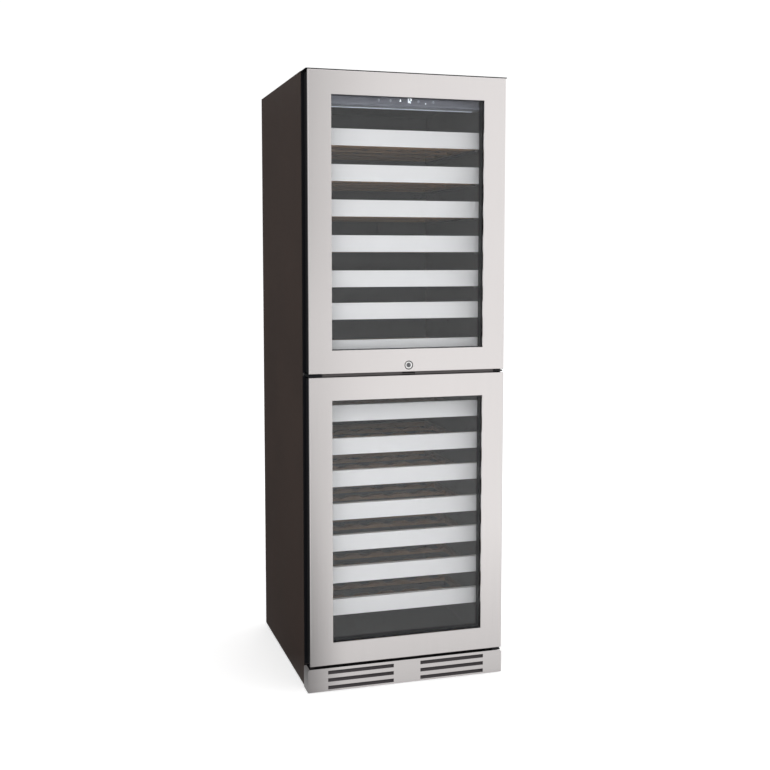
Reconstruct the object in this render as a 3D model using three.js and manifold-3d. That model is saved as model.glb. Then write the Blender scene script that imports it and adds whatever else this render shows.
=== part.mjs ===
// Tall dual-zone wine cooler: a steel cabinet with two glass doors, one above the other,
// and seven wooden bottle shelves in each compartment.
// Millimetres, +Z up. The doors face -Y. The origin is the middle of the footprint, on the floor.
import * as THREE from "three";
import { mergeVertices } from "three/addons/utils/BufferGeometryUtils.js";
import Module from "manifold-3d";

const wasm = await Module();
wasm.setup();

// ---- driving dimensions ----
const WIDTH = 595;
const DEPTH = 670;
const HEIGHT = 1760;
const GAP = 0.3; // between pieces that touch
const FRONT = -DEPTH / 2; // plane of the doors' outer faces

// Depths below are measured back from the doors' outer faces.
const FLANGE_FRONT = 64;
const FLANGE_BACK = 66;
const BODY_BACK = 645;
const SHEET = 1;

// cabinet heights
const SIDE_BOTTOM = 7.5;
const BASE_TOP = 66;

// slotted plate below the doors
const KICK_FRONT = 10;
const KICK_BOTTOM = 2;
const KICK_TOP = 69.5;
const KICK_CORNER = 5;
const KICK_SHEET = 1.5;
const KICK_SLOTS = { near: 41, far: 238.5, halfHeight: 5.3, middles: [12, 34.2, 56.3] };

// compartments
const CAVITY_HALF = 250;
const CAVITY_BACK = 583;
const LINER = 2;
const UPPER_CAVITY = { floor: 945, ceiling: 1712 };
const LOWER_CAVITY = { floor: 98, ceiling: 880 };
const HUMP = { front: 385, top: 176 }; // raised rear floor over the machine space
const LEDGE = { near: 237, front: 104, back: 552, height: 6 }; // carries a shelf's side rail
const CONTROLS = { front: 80, back: 128, bottom: 1675, chamfer: 4 };
const DUCT = { half: 242, front: 556, wall: 2.5 };
const DUCT_SLOTS = { half: 70, height: 5, pitch: 12, rows: 5 };
const SPACER_BLOCK = { x: 200, half: 20, bottom: 1600, top: 1640 }; // keeps the cabinet off the wall

// machine space, below the raised floor at the back
const MACHINE = { front: 420, top: 148, sheet: 2 };
const COVER = { half: 284, bottom: 26, wall: 1.5, overlap: 28 };
const VENTS = { first: -220, pitch: 60, width: 42, height: 12, columns: 7, bottoms: [50, 85, 120] };
const TRAY = { low: 22, high: 25 };
const COMPRESSOR = { x: -150, depth: 535, legs: 58 };
const FAN = { x: 120, z: 86, depth: 470, radius: 48 };
const FOOT_BORE = 5.5;
const FEET = [
  { name: "foot_front_left", x: -255, depth: 110 },
  { name: "foot_front_right", x: 255, depth: 110 },
  { name: "foot_rear_left", x: -255, depth: 610 },
  { name: "foot_rear_right", x: 255, depth: 610 },
];

// doors
const DOOR_HALF = 292.5;
const DOOR_BACK = 50;
const UPPER_DOOR = { bottom: 919, top: 1757 };
const LOWER_DOOR = { bottom: 81, top: 909 };
const RAIL = 65.5;
const WINDOW_HALF = 226;
const REVEAL = 3.5; // black frame stands back from the steel's window edge
const SILL_REVEAL = 0.5; // the same, along the lower edge
const STEEL = 1.2;
const EDGE_ROUND = 2.5;
const REBATE_HALF = 249.5;
const REBATE_BACK = 28;
const GLASS_FRONT = 5.5;
const PANE = 4;
const UNIT = 22;
const SPACER = 13;
const GASKET = 12;
const GASKET_INSET = 4;

// hinges
const HINGE_X = 280;
const HINGE_DEPTH = 14;
const PIN_RADIUS = 4;
const BORE_RADIUS = 4.5;
const PIN_LENGTH = 12;
const ARM = { near: 264, far: 290, front: 4 };
const FIXING = { near: 269, far: 294, thick: 3 };

// shelves: heights of the tops of their steel fronts
const UPPER_SHELF_TOPS = [1609, 1508.5, 1408.7, 1307.8, 1207, 1114, 1007];
const LOWER_SHELF_TOPS = [818.5, 721.5, 627, 529, 436, 341.5, 245.5];
const FASCIA_HEIGHT = 47.5;
const FASCIA_FRONT = 85;
const FASCIA_SHEET = 1.5;
const FASCIA_HALF = 247;
const FASCIA_LIP = 14;
const RACK_HALF = 245;
const RACK_BACK = 545;
const RACK_LOW = 0.5;
const RACK_HIGH = 16;
const BOARD_DEPTH = 62; // flat board behind the steel front
const RAIL_WIDTH = 18;
const RAIL_HIGH = 15;
const SLAT_WIDTH = 20;
const SLAT_LOW = 3;
const SLAT_DEPTHS = [205, 315, 425];
const BOTTLE_PITCH = 79;
const BOTTLE_COLUMNS = 6;
const BOTTLE_RADIUS = 38;
const SCALLOP_DEPTH = 6;

// lock
const LOCK_Z = 938;
const BEZEL_RADIUS = 12.5;
const LOCK_RADIUS = 6.2;
const CAM_LENGTH = 26.5;

// ---- materials ----
const rgb = (r, g, b) => new THREE.Color().setRGB(r / 255, g / 255, b / 255, THREE.SRGBColorSpace);

function material(color, roughness, metalness, extra = {}) {
  return new THREE.MeshStandardMaterial({ color, roughness, metalness, ...extra });
}

const STAINLESS = material(rgb(214, 211, 208), 0.32, 1);
const SHELL_PAINT = material(rgb(58, 48, 42), 0.5, 0.2);
const BLACK_PLASTIC = material(rgb(20, 20, 24), 0.5, 0);
const GREY_TRIM = material(rgb(85, 80, 80), 0.45, 0.3);
const LINER_PLASTIC = material(rgb(62, 60, 62), 0.6, 0);
const GLASS = material(rgb(190, 205, 205), 0.05, 0, { transparent: true, opacity: 0.3 });
const RUBBER = material(rgb(34, 34, 38), 0.8, 0);
const WOOD = material(rgb(150, 108, 74), 0.6, 0);
const FOAM = material(rgb(226, 210, 160), 0.9, 0);
const GALVANISED = material(rgb(165, 168, 170), 0.45, 1);
const PANEL_PLASTIC = material(rgb(108, 110, 125), 0.3, 0);
const CHROME = material(rgb(220, 220, 222), 0.12, 1);
const MACHINE_BLACK = material(rgb(24, 24, 26), 0.55, 0.1);

// ---- solids ----
function toSolid(geometry) {
  const bare = geometry.index ? geometry.toNonIndexed() : geometry.clone();
  bare.deleteAttribute("normal");
  bare.deleteAttribute("uv");
  const merged = mergeVertices(bare, 1e-4);
  return new wasm.Manifold(
    new wasm.Mesh({
      numProp: 3,
      vertProperties: new Float32Array(merged.attributes.position.array),
      triVerts: new Uint32Array(merged.index.array),
    }),
  );
}

function toGeometry(solid) {
  const mesh = solid.getMesh();
  const geometry = new THREE.BufferGeometry();
  geometry.setAttribute("position", new THREE.BufferAttribute(mesh.vertProperties, 3));
  geometry.setIndex(new THREE.BufferAttribute(mesh.triVerts, 1));
  return geometry;
}

const join = (solids) => solids.reduce((whole, solid) => whole.add(solid));
const cut = (solid, tools) => tools.reduce((rest, tool) => rest.subtract(tool), solid);

// A block from its limits: x, then depth from the doors' outer faces, then height.
function block(x0, x1, d0, d1, z0, z1) {
  const box = new THREE.BoxGeometry(x1 - x0, d1 - d0, z1 - z0);
  box.translate((x0 + x1) / 2, FRONT + (d0 + d1) / 2, (z0 + z1) / 2);
  return toSolid(box);
}

// A block that spans the same distance to the left and to the right.
const span = (half, d0, d1, z0, z1) => block(-half, half, d0, d1, z0, z1);

// An outline in X and Z, pushed through from depth d0 to depth d1.
function panel(shape, d0, d1, options = {}) {
  const bevel = options.bevelThickness ?? 0;
  const extrusion = new THREE.ExtrudeGeometry(shape, {
    depth: d1 - d0 - 2 * bevel,
    bevelEnabled: bevel > 0,
    curveSegments: 8,
    ...options,
  });
  extrusion.rotateX(Math.PI / 2);
  extrusion.translate(0, FRONT + d1 - bevel, 0);
  return toSolid(extrusion);
}

// A profile in depth and height, pushed from x0 to x1.
function profile(points, x0, x1) {
  const shape = new THREE.Shape(points.map(([d, z]) => new THREE.Vector2(FRONT + d, z)));
  const extrusion = new THREE.ExtrudeGeometry(shape, { depth: x1 - x0, bevelEnabled: false });
  extrusion.rotateX(Math.PI / 2);
  extrusion.rotateZ(Math.PI / 2);
  extrusion.translate(x0, 0, 0);
  return toSolid(extrusion);
}

function cylinder(radius, length, axis, centre, segments = 24) {
  const rod = new THREE.CylinderGeometry(radius, radius, length, segments);
  if (axis === "z") {
    rod.rotateX(Math.PI / 2);
  }
  if (axis === "x") {
    rod.rotateZ(Math.PI / 2);
  }
  rod.translate(centre[0], FRONT + centre[1], centre[2]);
  return toSolid(rod);
}

function rectangle(half, z0, z1) {
  const shape = new THREE.Shape();
  shape.moveTo(-half, z0);
  shape.lineTo(half, z0);
  shape.lineTo(half, z1);
  shape.lineTo(-half, z1);
  shape.closePath();
  return shape;
}

const assembly = new THREE.Group();

function addPiece(name, solid, pieceMaterial, parent = assembly) {
  const geometry = solid.isBufferGeometry ? solid : toGeometry(solid);
  const mesh = new THREE.Mesh(geometry, pieceMaterial);
  mesh.name = name;
  parent.add(mesh);
  return mesh;
}

// ---- cabinet ----
// One folded sheet makes both sides and the top.
function outerShell() {
  const half = WIDTH / 2;
  const inner = half - SHEET;
  const outside = span(half, FLANGE_FRONT, BODY_BACK - SHEET, SIDE_BOTTOM, HEIGHT);
  const inside = span(inner, FLANGE_FRONT - 1, BODY_BACK, SIDE_BOTTOM - 1, HEIGHT - SHEET);
  return outside.subtract(inside);
}

const INNER_HALF = WIDTH / 2 - SHEET - GAP;
const INNER_TOP = HEIGHT - SHEET - GAP;

// Rear sheet with two spacers that keep the cabinet off the wall.
function backPanel() {
  const sheet = span(WIDTH / 2, BODY_BACK - SHEET + GAP, BODY_BACK + GAP, MACHINE.top + 30, HEIGHT);
  const { half, bottom, top } = SPACER_BLOCK;
  const spacers = [-SPACER_BLOCK.x, SPACER_BLOCK.x].map((x) =>
    block(x - half, x + half, BODY_BACK, DEPTH, bottom, top),
  );
  return join([sheet, ...spacers]);
}

// Foamed block between the shell and the two liners.
function insulation() {
  const body = span(INNER_HALF, FLANGE_BACK + GAP, BODY_BACK - SHEET, BASE_TOP, INNER_TOP);
  const reach = CAVITY_HALF + LINER + GAP;
  const skin = LINER + GAP;
  const front = FLANGE_BACK - 1;
  const back = CAVITY_BACK + skin;
  const upper = span(reach, front, back, UPPER_CAVITY.floor - skin, UPPER_CAVITY.ceiling + skin);
  const lower = span(reach, front, HUMP.front + skin, LOWER_CAVITY.floor - skin, HUMP.top + 1);
  const lowerTop = span(reach, front, back, HUMP.top - skin, LOWER_CAVITY.ceiling + skin);
  const machine = span(WIDTH, MACHINE.front - MACHINE.sheet - 2 * GAP, DEPTH, 0, MACHINE.top + GAP);
  return cut(body, [upper, lower, lowerTop, machine]);
}

// Front flange around both compartments. A nose on its cross bar fills the gap between the
// doors, and the keeper that the lock's cam drops into stands in a recess of the nose.
function frontFrame() {
  const plate = span(INNER_HALF, FLANGE_FRONT, FLANGE_BACK, KICK_TOP + GAP, INNER_TOP);
  const holes = [UPPER_CAVITY, LOWER_CAVITY].map(({ floor, ceiling }) =>
    span(CAVITY_HALF, FLANGE_FRONT - 1, FLANGE_BACK + 1, floor, ceiling),
  );
  const nose = block(-254, 263, 8, FLANGE_FRONT + 1, 910.6, 917.4);
  const recess = block(-17, 21, 7, 36, 910, 918);
  const keeper = block(-16, 20, 10, 37, 911, 914);
  const slot = block(-6.5, 14.5, 22.5, 29.5, 910, 915);
  return join([cut(plate, holes), nose.subtract(recess), keeper]).subtract(slot);
}

// Shelf ledges are moulded into both side walls.
function ledges(tops) {
  return tops.flatMap((top) => {
    const high = top - FASCIA_HEIGHT + RACK_LOW - GAP;
    return [-1, 1].map((side) => {
      const near = side * LEDGE.near;
      const far = side * (CAVITY_HALF + 1);
      const limits = [Math.min(near, far), Math.max(near, far)];
      return block(...limits, LEDGE.front, LEDGE.back, high - LEDGE.height, high);
    });
  });
}

function liner({ floor, ceiling }, tops, hump) {
  const half = CAVITY_HALF;
  const front = FLANGE_BACK + GAP;
  const back = CAVITY_BACK + LINER;
  let shell = span(half + LINER, front, back, floor - LINER, ceiling + LINER);
  let hollow = span(half, front - 1, CAVITY_BACK, floor, ceiling);
  if (hump) {
    const wide = half + LINER + 1;
    const step = span(wide, hump.front + LINER, back + 1, floor - LINER - 1, hump.top - LINER);
    shell = shell.subtract(step);
    hollow = hollow.subtract(span(half + 1, hump.front, back, floor - 1, hump.top));
  }
  return join([shell.subtract(hollow), ...ledges(tops)]);
}

// Moulded cover over the cold-air duct on the rear wall, open at the back, with air slots.
function ductCover({ floor, ceiling }) {
  const { half, front, wall } = DUCT;
  const low = floor + 4;
  const high = ceiling - 4;
  const back = CAVITY_BACK - GAP;
  const pan = span(half, front, back, low, high);
  const hollow = span(half - wall, front + wall, back + 1, low + wall, high - wall);
  const slots = [];
  for (const height of [floor + 60, (floor + ceiling) / 2, ceiling - 110]) {
    for (let row = 0; row < DUCT_SLOTS.rows; row += 1) {
      const z = height + row * DUCT_SLOTS.pitch;
      slots.push(span(DUCT_SLOTS.half, front - 1, front + wall + 1, z, z + DUCT_SLOTS.height));
    }
  }
  return cut(pan.subtract(hollow), slots);
}

// Folded sheet that closes the foam from below and steps up over the machine space.
function baseSheet() {
  const top = BASE_TOP - GAP;
  const step = MACHINE.front - GAP;
  const back = BODY_BACK - SHEET;
  const { sheet } = MACHINE;
  const outline = [
    [FLANGE_BACK + GAP, top - sheet],
    [step, top - sheet],
    [step, MACHINE.top - sheet],
    [back, MACHINE.top - sheet],
    [back, MACHINE.top],
    [step - sheet, MACHINE.top],
    [step - sheet, top],
    [FLANGE_BACK + GAP, top],
  ];
  return profile(outline, -INNER_HALF, INNER_HALF);
}

// Bracket of the fan: an upright plate with a round opening, and a motor on a strut behind it.
function fanBracket() {
  const { x, z, depth, radius } = FAN;
  const low = TRAY.high - 1;
  const plate = block(x - 62, x + 62, depth, depth + 3, low, MACHINE.top - 1.5);
  const opening = cylinder(radius + 4, 20, "y", [x, depth, z], 32);
  const strut = block(x - 6, x + 6, depth + 20, depth + 24, low, z);
  const motor = cylinder(17, 30, "y", [x, depth + 31, z]);
  return join([plate.subtract(opening), strut, motor]);
}

// The base sheet with its side plates, the compressor tray, the brackets of the front feet
// and the fan's bracket.
function basePan() {
  const half = INNER_HALF;
  const { sheet } = MACHINE;
  const back = BODY_BACK - SHEET;
  const inner = MACHINE.front - sheet;
  const sides = [-half, half - sheet].map((x) => {
    const under = BASE_TOP - GAP - sheet + 1;
    const frontPlate = block(x, x + sheet, FLANGE_BACK + GAP, MACHINE.front, TRAY.low, under);
    const rearPlate = block(x, x + sheet, inner, back, TRAY.low, MACHINE.top - 1);
    return frontPlate.add(rearPlate);
  });
  const tray = span(half - 1, inner, back, TRAY.low, TRAY.high);
  const brackets = FEET.slice(0, 2).map(({ x, depth }) => {
    const near = Math.sign(x) * (Math.abs(x) - 20);
    const far = Math.sign(x) * (half - 1);
    const limits = [Math.min(near, far), Math.max(near, far)];
    return block(...limits, depth - 22, depth + 22, TRAY.low, TRAY.high);
  });
  const holes = FEET.map(({ x, depth }) => cylinder(FOOT_BORE, 40, "z", [x, depth, TRAY.low], 16));
  return cut(join([baseSheet(), ...sides, tray, ...brackets, fanBracket()]), holes);
}

// Slotted plate below the doors, with short returns at its ends.
function kickPlate() {
  const half = WIDTH / 2;
  const outline = new THREE.Shape();
  outline.moveTo(-half, KICK_BOTTOM);
  outline.lineTo(half, KICK_BOTTOM);
  outline.lineTo(half, KICK_TOP - KICK_CORNER);
  outline.lineTo(half - KICK_CORNER, KICK_TOP);
  outline.lineTo(-half + KICK_CORNER, KICK_TOP);
  outline.lineTo(-half, KICK_TOP - KICK_CORNER);
  outline.closePath();
  const plate = panel(outline, KICK_FRONT, FLANGE_FRONT - GAP);
  const back = KICK_FRONT + KICK_SHEET;
  const low = KICK_BOTTOM - 1;
  const high = KICK_TOP - KICK_CORNER - KICK_SHEET;
  const hollow = span(half - KICK_SHEET, back, FLANGE_FRONT, low, high);
  const { near, far, halfHeight } = KICK_SLOTS;
  const slots = KICK_SLOTS.middles.flatMap((middle) =>
    [-far, near].map((x) =>
      block(x, x + far - near, KICK_FRONT - 1, back + 1, middle - halfHeight, middle + halfHeight),
    ),
  );
  return cut(plate, [hollow, ...slots]);
}

// Control and lamp housing under the upper compartment's ceiling.
function controlPanel() {
  const { front, back, bottom, chamfer } = CONTROLS;
  const high = UPPER_CAVITY.ceiling - GAP;
  const outline = [
    [front, bottom + chamfer],
    [front + chamfer, bottom],
    [back, bottom],
    [back, high],
    [front, high],
  ];
  return profile(outline, -CAVITY_HALF + 1, CAVITY_HALF - 1);
}

// Cover of the machine space, open to the inside, with air slots and the power inlet.
function machineCover() {
  const { half, bottom, wall, overlap } = COVER;
  const front = BODY_BACK + GAP;
  const top = MACHINE.top + overlap;
  const pan = span(half, front, DEPTH, bottom, top);
  const hollow = span(half - wall, front - 1, DEPTH - wall, bottom + wall, top - wall);
  const slots = [];
  for (let column = 0; column < VENTS.columns; column += 1) {
    const x = VENTS.first + column * VENTS.pitch;
    for (const z of VENTS.bottoms) {
      slots.push(block(x, x + VENTS.width, DEPTH - wall - 1, DEPTH + 1, z, z + VENTS.height));
    }
  }
  const inlet = block(210, 250, DEPTH - 22, DEPTH - 1, 50, 80);
  const socket = block(214, 246, DEPTH - 18, DEPTH + 1, 54, 76);
  return join([cut(pan, [hollow, ...slots]), inlet]).subtract(socket);
}

// Domed can on two beams, which stand on four rubber legs.
function compressor() {
  const outline = [
    [0, 0],
    [62, 0],
    [70, 8],
    [74, 24],
    [74, 62],
    [66, 88],
    [46, 104],
    [18, 111],
    [0, 111],
  ].map(([radius, height]) => new THREE.Vector2(radius, height));
  const { x, depth, legs } = COMPRESSOR;
  const can = new THREE.LatheGeometry(outline, 32);
  can.rotateX(Math.PI / 2);
  can.translate(x, FRONT + depth, TRAY.high + 6);
  const low = TRAY.high + GAP;
  const stand = [];
  for (const legX of [x - legs, x + legs]) {
    stand.push(block(legX - 8, legX + 8, depth - 63, depth + 63, TRAY.high + 6, TRAY.high + 10));
    for (const legDepth of [depth - legs, depth + legs]) {
      stand.push(block(legX - 12, legX + 12, legDepth - 12, legDepth + 12, low, TRAY.high + 12));
    }
  }
  return join([toSolid(can), ...stand]);
}

function fanImpeller() {
  const hub = cylinder(15, 16, "y", [FAN.x, FAN.depth + 7, FAN.z]);
  const blades = [];
  for (let index = 0; index < 5; index += 1) {
    const blade = new THREE.BoxGeometry(FAN.radius - 10, 2, 22);
    blade.rotateX(0.5);
    blade.translate((FAN.radius + 10) / 2, 0, 0);
    blade.rotateY((index * 2 * Math.PI) / 5);
    blade.translate(FAN.x, FRONT + FAN.depth + 7, FAN.z);
    blades.push(toSolid(blade));
  }
  return join([hub, ...blades]);
}

function foot() {
  const outline = [
    [0, 0],
    [17, 0],
    [18, 1.5],
    [18, 5],
    [12, 8],
    [5, 10],
    [5, 40],
    [0, 40],
  ].map(([radius, height]) => new THREE.Vector2(radius, height));
  const geometry = new THREE.LatheGeometry(outline, 24);
  geometry.rotateX(Math.PI / 2);
  return toGeometry(toSolid(geometry));
}

addPiece("outer_shell", outerShell(), SHELL_PAINT);
addPiece("back_panel", backPanel(), GALVANISED);
addPiece("insulation", insulation(), FOAM);
addPiece("front_frame", frontFrame(), GREY_TRIM);
addPiece("upper_liner", liner(UPPER_CAVITY, UPPER_SHELF_TOPS), LINER_PLASTIC);
addPiece("lower_liner", liner(LOWER_CAVITY, LOWER_SHELF_TOPS, HUMP), LINER_PLASTIC);
addPiece("upper_duct_cover", ductCover(UPPER_CAVITY), LINER_PLASTIC);
addPiece("lower_duct_cover", ductCover({ floor: HUMP.top, ceiling: LOWER_CAVITY.ceiling }), LINER_PLASTIC);
addPiece("base_pan", basePan(), GALVANISED);
addPiece("kick_plate", kickPlate(), STAINLESS);
addPiece("control_panel", controlPanel(), PANEL_PLASTIC);
addPiece("machine_cover", machineCover(), MACHINE_BLACK);
addPiece("compressor", compressor(), MACHINE_BLACK);
addPiece("condenser_fan", fanImpeller(), BLACK_PLASTIC);

for (const { name, x, depth } of FEET) {
  const group = new THREE.Group();
  group.position.set(x, FRONT + depth, 0);
  addPiece(name, foot(), BLACK_PLASTIC, group);
  assembly.add(group);
}

// ---- hinges ----
const pin = (z0, z1) => cylinder(PIN_RADIUS, z1 - z0, "z", [HINGE_X, HINGE_DEPTH, (z0 + z1) / 2]);

// The plate of a hinge against the cabinet's front flange.
const hingePlate = (z0, z1) =>
  block(FIXING.near, FIXING.far, FLANGE_FRONT - FIXING.thick, FLANGE_FRONT - GAP, z0, z1);

function topHinge() {
  const low = UPPER_DOOR.top + 0.5;
  const arm = block(ARM.near, ARM.far, ARM.front, FLANGE_FRONT - GAP, low, HEIGHT);
  return join([arm, hingePlate(1741, HEIGHT), pin(UPPER_DOOR.top - 5 - PIN_LENGTH, low + 1)]);
}

// A bracket whose arm reaches forward in the gap below a door, with its pin.
function lowerBracket(armLow, plateLow, plateHigh, pinLow, pinHigh) {
  const arm = block(ARM.near, ARM.far, ARM.front, FLANGE_FRONT - GAP, armLow, armLow + 4);
  return join([arm, hingePlate(plateLow, plateHigh), pin(pinLow, pinHigh)]);
}

// One bracket in the gap carries the upper door and holds down the lower door.
const middleHinge = () =>
  lowerBracket(912, 898, 926, LOWER_DOOR.top - 5 - PIN_LENGTH, UPPER_DOOR.bottom + 2 + PIN_LENGTH);

const bottomHinge = () =>
  lowerBracket(73, KICK_TOP + 1, 80, 75, LOWER_DOOR.bottom + 2 + PIN_LENGTH);

addPiece("top_hinge", topHinge(), MACHINE_BLACK);
addPiece("middle_hinge", middleHinge(), MACHINE_BLACK);
addPiece("bottom_hinge", bottomHinge(), MACHINE_BLACK);
// Covers the unused hinge seat on the opening side.
addPiece("gap_block", block(-292, -255, 1, FLANGE_FRONT - GAP, 910.5, 917.5), BLACK_PLASTIC);

// ---- doors ----
function doorSteel({ bottom, top }) {
  const round = {
    bevelThickness: EDGE_ROUND,
    bevelSize: EDGE_ROUND,
    bevelOffset: -EDGE_ROUND,
    bevelSegments: 3,
  };
  const skin = panel(rectangle(DOOR_HALF, bottom, top), 0, 14, round);
  const trimmed = skin.subtract(span(WIDTH, 9, 20, bottom - 1, top + 1));
  const inside = DOOR_HALF - STEEL;
  const hollow = span(inside, STEEL, 10, bottom + STEEL, top - STEEL);
  const windowLow = bottom + RAIL;
  const windowHigh = top - RAIL;
  const collar = span(WINDOW_HALF + STEEL, STEEL / 2, 5, windowLow - STEEL, windowHigh + STEEL);
  const opening = span(WINDOW_HALF, -1, 10, windowLow, windowHigh);
  return join([trimmed.subtract(hollow), collar]).subtract(opening);
}

function doorFrame({ bottom, top }) {
  const outer = { low: bottom + 2, high: top - 5 };
  const front = STEEL + GAP;
  const body = span(DOOR_HALF - 2.5, front, DOOR_BACK, outer.low, outer.high);
  const low = bottom + RAIL;
  const high = top - RAIL;
  const inset = REBATE_HALF - WINDOW_HALF + GAP;
  const through = span(WINDOW_HALF + REVEAL, 0, DOOR_BACK + 1, low - SILL_REVEAL, high + REVEAL);
  const rebate = span(REBATE_HALF + GAP, 0, REBATE_BACK, low - inset, high + inset);
  const bores = [outer.low, outer.high].map((z) =>
    cylinder(BORE_RADIUS, 2 * PIN_LENGTH + 2, "z", [HINGE_X, HINGE_DEPTH, z]),
  );
  return cut(body, [through, rebate, ...bores]);
}

// Two panes held apart by an edge spacer, which has a breather hole in its lower edge.
function doorGlass({ bottom, top }) {
  const inset = REBATE_HALF - WINDOW_HALF;
  const low = bottom + RAIL - inset;
  const high = top - RAIL + inset;
  const back = GLASS_FRONT + UNIT;
  const unit = span(REBATE_HALF, GLASS_FRONT, back, low, high);
  const air = span(REBATE_HALF - SPACER, GLASS_FRONT + PANE, back - PANE, low + SPACER, high - SPACER);
  const middle = GLASS_FRONT + UNIT / 2;
  const breather = cylinder(1.5, 2 * SPACER, "z", [200, middle, low + SPACER / 2], 8);
  return cut(unit, [air, breather]);
}

function doorGasket({ floor, ceiling }) {
  const near = GASKET_INSET;
  const far = GASKET_INSET + GASKET;
  const front = DOOR_BACK + GAP;
  const back = FLANGE_FRONT - GAP;
  const ring = (inner, outer, d0, d1) =>
    span(CAVITY_HALF + outer, d0, d1, floor - outer, ceiling + outer).subtract(
      span(CAVITY_HALF + inner, d0 - 1, d1 + 1, floor - inner, ceiling + inner),
    );
  const foot = ring(near + 2, far - 2, front, front + 5);
  const magnet = ring(near, far, front + 4, back);
  return foot.add(magnet);
}

function lockBezel() {
  const outline = [
    [LOCK_RADIUS + GAP, 0],
    [BEZEL_RADIUS - 1, 0],
    [BEZEL_RADIUS, 1],
    [BEZEL_RADIUS, 20],
    [LOCK_RADIUS + GAP, 20],
    [LOCK_RADIUS + GAP, 0],
  ].map(([radius, depth]) => new THREE.Vector2(radius, depth));
  const ring = new THREE.LatheGeometry(outline, 40);
  ring.translate(0, FRONT, LOCK_Z);
  return toSolid(ring);
}

function lockCylinder() {
  const barrel = cylinder(LOCK_RADIUS, 27.5, "y", [0, 14.35, LOCK_Z], 32);
  const cam = block(0, CAM_LENGTH, 24.5, 27.5, LOCK_Z - 5, LOCK_Z + 5);
  const keyway = block(-0.8, 0.8, 0, 9, LOCK_Z - 3.2, LOCK_Z + 3.2);
  return join([barrel, cam]).subtract(keyway);
}

const lockHole = (depth) => cylinder(BEZEL_RADIUS + GAP, depth, "y", [0, depth / 2 - 1, LOCK_Z], 40);
const camPocket = block(-9, CAM_LENGTH + 3, 23, 30, UPPER_DOOR.bottom - 1, LOCK_Z + 9);

addPiece("upper_door_steel", doorSteel(UPPER_DOOR).subtract(lockHole(12)), STAINLESS);
addPiece("upper_door_frame", cut(doorFrame(UPPER_DOOR), [lockHole(25), camPocket]), BLACK_PLASTIC);
addPiece("upper_door_glass", doorGlass(UPPER_DOOR), GLASS);
addPiece("upper_door_gasket", doorGasket(UPPER_CAVITY), RUBBER);
addPiece("lock_bezel", lockBezel(), CHROME);
addPiece("lock_cylinder", lockCylinder(), CHROME);

addPiece("lower_door_steel", doorSteel(LOWER_DOOR), STAINLESS);
addPiece("lower_door_frame", doorFrame(LOWER_DOOR), BLACK_PLASTIC);
addPiece("lower_door_glass", doorGlass(LOWER_DOOR), GLASS);
addPiece("lower_door_gasket", doorGasket(LOWER_CAVITY), RUBBER);

// ---- shelves ----
// Heights in a shelf start at the lower edge of its steel front.
function slatOutline() {
  const shape = new THREE.Shape();
  const half = RACK_HALF - 4;
  shape.moveTo(-half, SLAT_LOW);
  shape.lineTo(half, SLAT_LOW);
  shape.lineTo(half, RACK_HIGH);
  const reach = Math.acos(1 - SCALLOP_DEPTH / BOTTLE_RADIUS);
  const steps = 4;
  for (let column = BOTTLE_COLUMNS - 1; column >= 0; column -= 1) {
    const x = (column - (BOTTLE_COLUMNS - 1) / 2) * BOTTLE_PITCH;
    const centre = RACK_HIGH - SCALLOP_DEPTH + BOTTLE_RADIUS;
    for (let step = 0; step <= steps; step += 1) {
      const angle = reach - (2 * reach * step) / steps;
      shape.lineTo(x + BOTTLE_RADIUS * Math.sin(angle), centre - BOTTLE_RADIUS * Math.cos(angle));
    }
  }
  shape.lineTo(-half, RACK_HIGH);
  shape.closePath();
  return shape;
}

function rack() {
  const front = FASCIA_FRONT + FASCIA_SHEET + GAP;
  const board = span(RACK_HALF, front, front + BOARD_DEPTH, RACK_LOW, RACK_HIGH);
  const rear = span(RACK_HALF, RACK_BACK - RAIL_WIDTH, RACK_BACK, RACK_LOW, RACK_HIGH);
  const rails = [-RACK_HALF, RACK_HALF - RAIL_WIDTH].map((x) =>
    block(x, x + RAIL_WIDTH, front, RACK_BACK, RACK_LOW, RAIL_HIGH),
  );
  const slats = SLAT_DEPTHS.map((depth) => panel(slatOutline(), depth, depth + SLAT_WIDTH));
  return toGeometry(join([board, rear, ...rails, ...slats]));
}

// Folded steel front: a face, a top return and short ends.
function fascia() {
  const back = FASCIA_FRONT + FASCIA_SHEET;
  const lipBack = FASCIA_FRONT + FASCIA_LIP;
  const face = span(FASCIA_HALF, FASCIA_FRONT, back, 0, FASCIA_HEIGHT);
  const lip = span(FASCIA_HALF, FASCIA_FRONT, lipBack, FASCIA_HEIGHT - FASCIA_SHEET, FASCIA_HEIGHT);
  const ends = [-FASCIA_HALF, FASCIA_HALF - FASCIA_SHEET].map((x) =>
    block(x, x + FASCIA_SHEET, FASCIA_FRONT, lipBack, 0, FASCIA_HEIGHT),
  );
  return toGeometry(join([face, lip, ...ends]));
}

const rackGeometry = rack();
const fasciaGeometry = fascia();
[
  ["upper", UPPER_SHELF_TOPS],
  ["lower", LOWER_SHELF_TOPS],
].forEach(([zone, tops]) => {
  tops.forEach((top, index) => {
    const shelf = new THREE.Group();
    shelf.position.z = top - FASCIA_HEIGHT;
    addPiece(`${zone}_rack_${index + 1}`, rackGeometry, WOOD, shelf);
    addPiece(`${zone}_shelf_front_${index + 1}`, fasciaGeometry, STAINLESS, shelf);
    assembly.add(shelf);
  });
});

export default assembly;
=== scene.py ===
"""Looks of the tall dual-zone wine cooler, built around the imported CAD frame. Metres, +Z up."""
import math

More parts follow.
